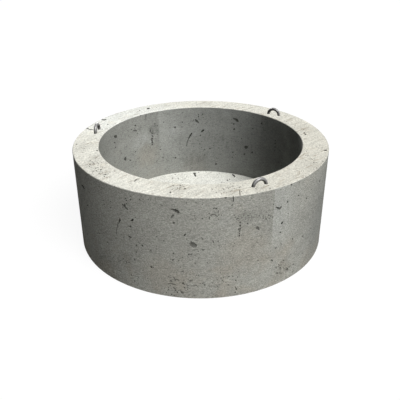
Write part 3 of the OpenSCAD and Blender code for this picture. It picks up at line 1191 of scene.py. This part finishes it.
def concrete_material():
    """Grey cast concrete: walls as they left the mould, and a paler trowelled rim and floor."""
    material, tree = new_material("cast_concrete")
    place = tree.node("ShaderNodeTexCoord", output="Object")
    zones = concrete_zones(tree, place)
    level = tree.math("MAXIMUM", zones["rim"], zones["floor"])
    grain = tree.layer("grain", place)
    sand = tree.layer("sand", place)
    grit = 2.0 * grain + 1.6 * sand
    specks = concrete_specks(tree, place, zones, level)
    flecks = strewn_specks(tree, place, *BROWN_FLECKS) * level
    colour = tree.blend(wall_colour(tree, place, zones, grit), level_colour(tree, place, zones, grit), level)
    colour = tree.blend(colour, FLECK_BROWN, 0.6 * flecks)
    # Pinholes, dark with painted shade, and dark grains.
    colour = tree.blend(colour, SPECK_DARK, 0.65 * specks)
    # Dark dirt and painted shade inside the holes.
    colour = tree.blend(colour, HOLE_DIRT_AND_SHADE, 0.92 * zones["lining"])
    relief = 0.6 * grain + 0.5 * sand - 0.4 * specks
    sockets = {
        "Base Color": colour,
        "Roughness": 0.88 + 0.2 * grain,
        "Normal": tree.bump(relief, 0.6, CONCRETE_RELIEF),
        "Specular IOR Level": 0.06,
    }
    finish_material(tree, tree.node("ShaderNodeBsdfPrincipled", inputs=sockets))
    return material


def bar_material():
    """Dull hot-rolled steel, painted pale and dark by the way its sides face, with scale, rust and cement
    smears low down.
    """
    material, tree = new_material("hot_rolled_bar")
    place = tree.node("ShaderNodeTexCoord", output="Object")
    _, _, height = tree.split(place)
    scale = tree.layer("bar_scale", place)
    fine = tree.layer("bar_fine", place)
    across, back, up = tree.split(tree.node("ShaderNodeNewGeometry", output="Normal"))
    # Painted light and shade: pale on the sides that face up and to the right, dark on the others, made
    # uneven by the scale.
    scale_and_painted_shade = 1 - tree.smooth(0.8 * up + 0.5 * across - 0.3 * back + 0.6 * scale, 0.05, 0.8)
    rust = tree.smooth(tree.layer("bar_rust", place), 0.12, 0.3)
    cement = tree.smooth(tree.layer("bar_cement", place) - (height - RING_H) / CEMENT_REACH, 0.0, 0.1)
    # Painted shade at listed spots of the loops.
    painted_bar_shade = soft_stains(tree, place, on_loops, BAR_PAINTED_SHADE, scale)
    steel = tree.blend(BAR_PAINTED_LIT, BAR_RUST, 0.35 * rust)
    steel = tree.blend(steel, BAR_SCALE_AND_SHADE, tree.math("MAXIMUM", 0.9 * scale_and_painted_shade, painted_bar_shade))
    sockets = {
        "Base Color": tree.blend(steel, CEMENT_SMEAR, 0.25 * cement),
        "Metallic": 0.4 * (1 - cement) * (1 - 0.5 * rust),
        "Roughness": 0.38 + 0.2 * rust + 0.3 * cement + 0.3 * fine,
        "Normal": tree.bump(scale + 0.5 * fine, 0.4, SCALE_RELIEF),
        "Specular IOR Level": 0.25,
    }
    finish_material(tree, tree.node("ShaderNodeBsdfPrincipled", inputs=sockets))
    return material


def loop_path(loop):
    """The middle of a loop's bar: up one leg, over the half-round bow and down the other leg."""
    start, end, low, _ = loop_shape(loop)
    middle = (Vector(start) + Vector(end)) / 2
    half = (Vector(end) - Vector(start)) / 2
    up = Vector((0, 0, half.length))
    turns = [pi * step / BOW_STEPS for step in range(BOW_STEPS + 1)]
    bow = [middle - half * cos(turn) + up * sin(turn) for turn in turns]
    near_leg = stretch((*start[:2], low), start, LEG_ROW)
    far_leg = stretch((*end[:2], low), end, LEG_ROW)[::-1]
    return polyline("loop_path", near_leg + bow + far_leg)


def lifting_loop(loop, material):
    """One loop of bent bar with its two straight legs."""
    *_, bar_radius = loop_shape(loop)
    tree = PieceTree("lifting_loop_" + loop)
    path = tree.input("Path", "Geometry")
    bar_r = tree.input("Bar radius", "Float", bar_radius)
    unevenness = tree.input("Unevenness", "Float", BAR_UNEVEN)
    curve = tree.node("GeometryNodeMeshToCurve", inputs={"Mesh": path})
    sockets = {"Resolution": BAR_SIDES, "Radius": bar_r}
    round_bar = tree.node("GeometryNodeCurvePrimitiveCircle", inputs=sockets)
    sockets = {"Curve": curve, "Profile Curve": round_bar, "Fill Caps": True}
    bar = tree.node("GeometryNodeCurveToMesh", inputs=sockets)
    outward = tree.node("GeometryNodeInputNormal")
    dents = tree.layer("bar_dents", tree.place()) * unevenness
    tree.end(tree.edge_shading(tree.moved(bar, Offset=tree.scaled(outward, dents))), material)
    return tree.make("loop_bar_" + loop, loop_path(loop))


def add_lamp(name, bearing, elevation, level, spread):
    light = bpy.data.lights.new(name, "SUN")
    light.energy = level * pi
    light.angle = radians(spread)
    lamp = bpy.data.objects.new(name, light)
    tilt = radians(elevation)
    towards = Vector((cos(tilt) * cos(radians(bearing)), cos(tilt) * sin(radians(bearing)), sin(tilt)))
    lamp.rotation_euler = towards.to_track_quat("Z", "Y").to_euler()
    scene.collection.objects.link(lamp)


def seen_directly(tree):
    """1 on the rays that the camera, gloss or clear surfaces send, and 0 on those that light the object."""
    camera = tree.node("ShaderNodeLightPath", output="Is Camera Ray")
    seen = tree.math("MAXIMUM", camera, camera.out("Is Glossy Ray"))
    return tree.math("MAXIMUM", seen, camera.out("Is Transmission Ray"))


def white_world():
    world = bpy.data.worlds.new("studio")
    world.use_nodes = True
    world.node_tree.nodes.clear()
    scene.world = world
    tree = Tree(world.node_tree)
    level = AMBIENT + (1 - AMBIENT) * seen_directly(tree)
    sky = tree.node("ShaderNodeBackground", inputs={"Color": WHITE, "Strength": level})
    tree.node("ShaderNodeOutputWorld", inputs={"Surface": sky})


def studio_floor():
    """A white floor that keeps the object's shadow."""
    material, tree = new_material("studio_floor")
    glow = tree.node("ShaderNodeEmission", inputs={"Color": WHITE, "Strength": STUDIO_GLOW})
    shade = tree.node("ShaderNodeBsdfDiffuse", inputs={"Color": STUDIO_SHADE})
    lit = tree.node("ShaderNodeAddShader", inputs={"Shader": glow, "Shader_001": shade})
    sockets = {"Fac": seen_directly(tree), "Shader": shade, "Shader_001": lit}
    finish_material(tree, tree.node("ShaderNodeMixShader", inputs=sockets))
    sides = [(-1, -1), (1, -1), (1, 1), (-1, 1)]
    corners = [(across * STUDIO_REACH, back * STUDIO_REACH, -STUDIO_DROP) for across, back in sides]
    mesh = bpy.data.meshes.new("studio_floor")
    mesh.from_pydata(corners, [], [(0, 1, 2, 3)])
    mesh.materials.append(material)
    floor = bpy.data.objects.new("studio_floor", mesh)
    scene.collection.objects.link(floor)


ring = cast_ring(concrete_material())
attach(ring, "root")
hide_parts("concrete_ring")

bar_steel = bar_material()
for loop in LOOPS:
    bar = lifting_loop(loop, bar_steel)
    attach(bar, "root")
    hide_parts("lifting_loop_" + loop)
    # The photograph shows no shadow of the loops on the rim.
    bar.visible_shadow = False

for lamp, (bearing, elevation, level, spread) in LAMPS.items():
    add_lamp(lamp, bearing, elevation, level, spread)
white_world()
studio_floor()
